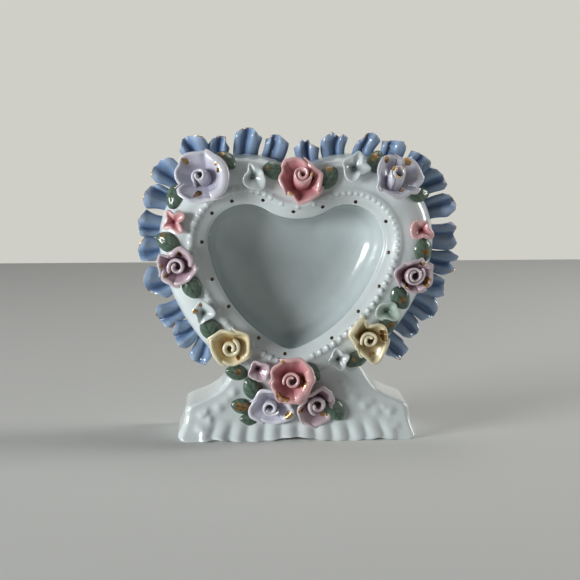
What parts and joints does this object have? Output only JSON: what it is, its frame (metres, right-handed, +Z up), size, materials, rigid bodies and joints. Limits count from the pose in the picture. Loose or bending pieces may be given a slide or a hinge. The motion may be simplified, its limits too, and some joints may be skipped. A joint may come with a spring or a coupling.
{
  "type": "heart shaped photo frame",
  "caption": "Free-standing porcelain photo frame: a heart-shaped case with a dished recess on a fluted foot, dressed with applied roses, blossoms, leaves and a blue frill.",
  "frame": {"origin": "middle of the case's depth and width on the plane that the foot stands on", "axes": "+Z up, -Y the way the heart faces, +X to the viewer's right"},
  "size_m": [0.1236, 0.0378, 0.1184],
  "materials": {
    "white_glaze": "clear gloss glaze",
    "blue_glaze": "clear gloss glaze",
    "leaf_green_glaze": "clear gloss glaze",
    "pink_glaze": "clear gloss glaze",
    "lavender_glaze": "clear gloss glaze",
    "mauve_glaze": "clear gloss glaze",
    "yellow_glaze": "clear gloss glaze",
    "pale_green_glaze": "clear gloss glaze"
  },
  "bodies": {
    "root": {"bead_border": "white_glaze", "blossom_green_right": "pale_green_glaze", "blossom_mauve_left": "mauve_glaze", "blossom_pink_left": "pink_glaze", "blossom_pink_right": "pink_glaze", "blossom_white_left": "white_glaze", "blossom_white_right": "white_glaze", "blossom_white_top_left": "white_glaze", "blossom_white_top_right": "white_glaze", "frill_bottom_left": "blue_glaze", "frill_bottom_right": "blue_glaze", "frill_lower_left": "blue_glaze", "frill_lower_right": "blue_glaze", "frill_top_left": "blue_glaze", "frill_top_right": "blue_glaze", "frill_upper_left": "blue_glaze", "frill_upper_right": "blue_glaze", "heart_case": "white_glaze", "leaf_bottom_left_gold": "leaf_green_glaze", "leaf_bottom_left_lower": "leaf_green_glaze", "leaf_bottom_left_upper": "leaf_green_glaze", "leaf_bottom_right": "leaf_green_glaze", "leaf_lavender_top_left_lower": "leaf_green_glaze", "leaf_lavender_top_left_upper": "leaf_green_glaze", "leaf_lavender_top_right": "leaf_green_glaze", "leaf_mauve_left_lower": "leaf_green_glaze", "leaf_mauve_left_upper": "leaf_green_glaze", "leaf_mauve_right_lower": "leaf_green_glaze", "leaf_mauve_right_upper": "leaf_green_glaze", "leaf_pink_bottom_right": "leaf_green_glaze", "leaf_pink_top_left": "leaf_green_glaze", "leaf_pink_top_right": "leaf_green_glaze", "leaf_top_right_upright": "leaf_green_glaze", "leaf_yellow_left_lower": "leaf_green_glaze", "leaf_yellow_left_upper": "leaf_green_glaze", "leaf_yellow_right_lower": "leaf_green_glaze", "leaf_yellow_right_upper": "leaf_green_glaze", "pedestal_foot": "white_glaze", "rose_lavender_bottom_left_bud": "lavender_glaze", "rose_lavender_bottom_left_petals": "lavender_glaze", "rose_lavender_top_left_bud": "lavender_glaze", "rose_lavender_top_left_petals": "lavender_glaze", "rose_lavender_top_right_bud": "lavender_glaze", "rose_lavender_top_right_petals": "lavender_glaze", "rose_lilac_bottom_right_bud": "mauve_glaze", "rose_lilac_bottom_right_petals": "mauve_glaze", "rose_mauve_left_bud": "mauve_glaze", "rose_mauve_left_petals": "mauve_glaze", "rose_mauve_right_bud": "mauve_glaze", "rose_mauve_right_petals": "mauve_glaze", "rose_pink_bottom_bud": "pink_glaze", "rose_pink_bottom_petals": "pink_glaze", "rose_pink_top_bud": "pink_glaze", "rose_pink_top_petals": "pink_glaze", "rose_yellow_left_bud": "yellow_glaze", "rose_yellow_left_petals": "yellow_glaze", "rose_yellow_right_bud": "yellow_glaze", "rose_yellow_right_petals": "yellow_glaze"}
  },
  "joints": []
}
